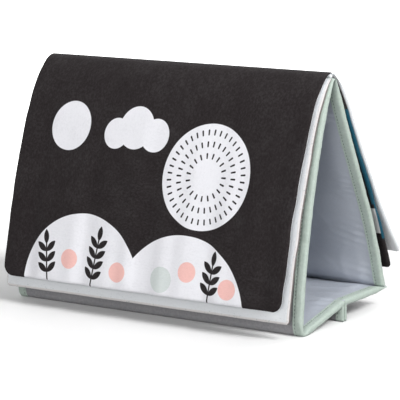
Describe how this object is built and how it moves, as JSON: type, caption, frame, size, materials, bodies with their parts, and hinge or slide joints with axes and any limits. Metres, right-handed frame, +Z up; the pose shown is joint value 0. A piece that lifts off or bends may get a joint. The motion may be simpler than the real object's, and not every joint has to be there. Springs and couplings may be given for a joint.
{
  "type": "soft easel book",
  "caption": "Padded cloth easel book for a baby, standing as a tent on board-stiffened panels with a fastened base, its leaves hanging from the ridge.",
  "frame": {"origin": "middle of the front foot, where the front panel's lower edge rests on the floor", "axes": "+X along the ridge to the right as the front cover is looked at, +Y from the front foot to the rear fold, +Z up"},
  "size_m": [0.3, 0.2028, 0.2172],
  "materials": {
    "grey_cloth": "matte woven polyester",
    "lining": "smooth silver-grey taffeta with a soft sheen",
    "binding": "matte mint-green woven tape",
    "board": "grey-brown board, sealed inside the panels",
    "strip": "hook-and-loop tape",
    "black_cloth": "matte black printed polyester",
    "white_cloth": "matte white polyester",
    "pale_cloth": "matte pale bluish-white polyester",
    "teal_print": "printed teal field",
    "pale_print": "printed pale lilac-white field",
    "pink_print": "printed pink field",
    "grey_print": "printed pale grey-green field"
  },
  "bodies": {
    "front_stand": {"ridge_seam": "white_cloth", "front_outer_cloth": "grey_cloth", "front_board": "board", "front_lining": "lining", "front_left_binding": "binding", "front_right_binding": "binding", "front_page": "white_cloth"},
    "front_leaf": {"front_cover": "black_cloth", "print_pale_fields": "pale_print", "print_dark_marks": "black_cloth", "print_pink_dots": "pink_print", "print_grey_disc": "grey_print"},
    "rear_stand": {"rear_outer_cloth": "grey_cloth", "rear_board": "board", "rear_lining": "lining", "rear_left_binding": "binding", "rear_right_binding": "binding", "back_page": "black_cloth", "back_page_border": "teal_print", "back_page_block": "pale_print"},
    "back_leaf": {"back_cover": "pale_cloth"},
    "front_base": {"base_front_outer_cloth": "grey_cloth", "base_front_board": "board", "base_front_lining": "lining", "base_front_left_binding": "binding", "base_front_right_binding": "binding", "fin_front_flap": "grey_cloth", "fin_front_binding": "binding", "hook_strip": "strip"},
    "rear_base": {"base_rear_outer_cloth": "grey_cloth", "base_rear_board": "board", "base_rear_lining": "lining", "base_rear_left_binding": "binding", "base_rear_right_binding": "binding", "fin_rear_flap": "grey_cloth", "fin_rear_binding": "binding", "loop_strip": "strip"}
  },
  "joints": [
    {"name": "front_cover_turn", "type": "hinge", "parent": "front_stand", "child": "front_leaf", "pos_m": [0, 0.05, 0.214], "axis": [-1, 0, 0], "range_deg": [0, 180]},
    {"name": "stand_open", "type": "hinge", "parent": "front_stand", "child": "rear_stand", "pos_m": [0, 0.05, 0.214], "axis": [-1, 0, 0], "range_deg": [-142, 0]},
    {"name": "back_cover_lift", "type": "hinge", "parent": "rear_stand", "child": "back_leaf", "pos_m": [0, 0.05, 0.214], "axis": [-1, 0, 0], "range_deg": [-50, 0]},
    {"name": "front_base_open", "type": "hinge", "parent": "front_stand", "child": "front_base", "pos_m": [0, 0.00525, 0.0015], "axis": [1, 0, 0], "range_deg": [-116, 0]},
    {"name": "rear_base_open", "type": "hinge", "parent": "rear_stand", "child": "rear_base", "pos_m": [0, 0.144, 0.017], "axis": [-1, 0, 0], "range_deg": [-114, 0]}
  ]
}
